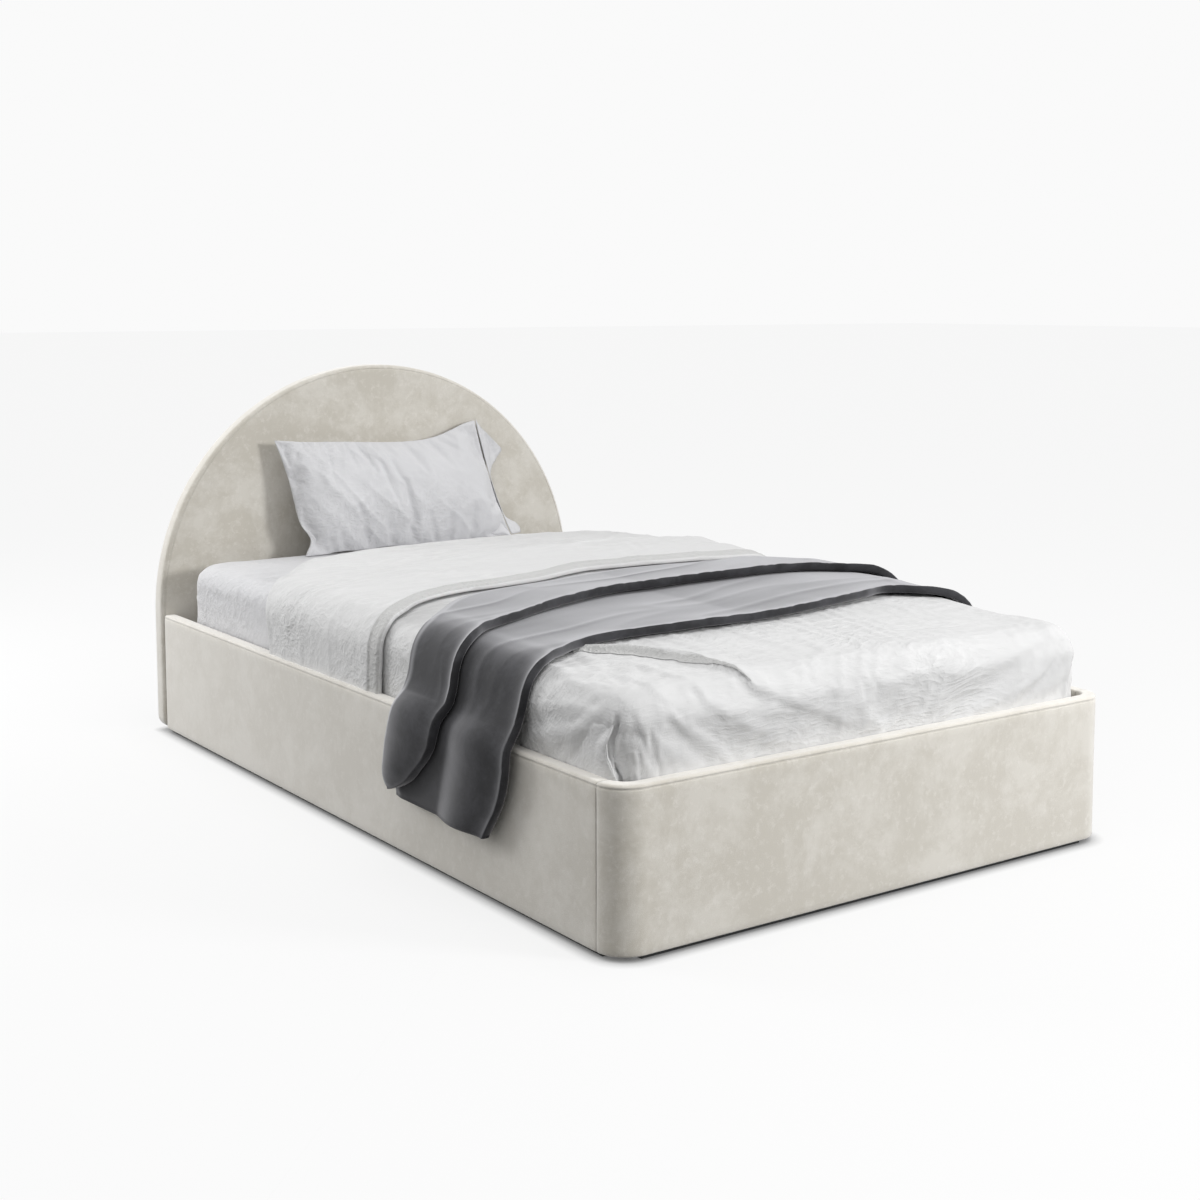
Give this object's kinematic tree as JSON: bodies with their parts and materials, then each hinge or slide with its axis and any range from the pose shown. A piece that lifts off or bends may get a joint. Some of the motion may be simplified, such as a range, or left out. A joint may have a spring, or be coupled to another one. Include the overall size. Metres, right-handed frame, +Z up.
{
  "type": "single bed",
  "caption": "Upholstered single bed with a half-round arched headboard, deep box rails with rounded foot corners, a sprung slatted base, mattress, white bedding and a folded grey throw.",
  "frame": {"origin": "on the floor, under the middle of the bed's overall box", "axes": "+X across the bed to the right seen from the foot, +Y from the foot to the headboard, +Z up"},
  "size_m": [1.3286, 2.14, 0.9659],
  "materials": {
    "base_steel": "dark powder coat",
    "black_plastic": "matt black",
    "board": "raw particle board",
    "dust_cloth": "black non-woven cloth",
    "duvet_linen": "washed linen",
    "foam": "pale upholstery foam",
    "grey_satin": "brushed satin",
    "holder_plastic": "matt black",
    "mattress_ticking": "woven ticking",
    "slat_ply": "lacquered beech plywood",
    "timber": "planed pine",
    "velvet": "mottled beige short-pile velvet",
    "white_linen": "washed linen",
    "zinc": "zinc plated"
  },
  "bodies": {
    "root": {"base_foot_tube": "base_steel", "base_head_tube": "base_steel", "base_left_tube": "base_steel", "base_right_tube": "base_steel", "base_spine_tube": "base_steel", "centre_slat_holders": "holder_plastic", "corner_posts": "timber", "duvet": "duvet_linen", "fitted_sheet": "white_linen", "foot_cleat": "timber", "foot_corner_brackets": "zinc", "foot_rail_board": "board", "foot_rail_cover": "velvet", "foot_rail_foam": "foam", "foot_rail_runner": "black_plastic", "head_corner_brackets": "zinc", "head_crossrail": "timber", "headboard_back_cloth": "dust_cloth", "headboard_board": "board", "headboard_bolts": "zinc", "headboard_cover": "velvet", "headboard_foam": "foam", "headboard_runner": "black_plastic", "left_cleat": "timber", "left_rail_board": "board", "left_rail_cover": "velvet", "left_rail_foam": "foam", "left_rail_runner": "black_plastic", "left_slat_holders": "holder_plastic", "left_slats": "slat_ply", "mattress": "mattress_ticking", "middle_leg_feet": "black_plastic", "middle_legs": "base_steel", "pillow": "white_linen", "rail_bolts": "zinc", "right_cleat": "timber", "right_rail_board": "board", "right_rail_cover": "velvet", "right_rail_foam": "foam", "right_rail_runner": "black_plastic", "right_slat_holders": "holder_plastic", "right_slats": "slat_ply", "throw": "grey_satin"}
  },
  "joints": []
}
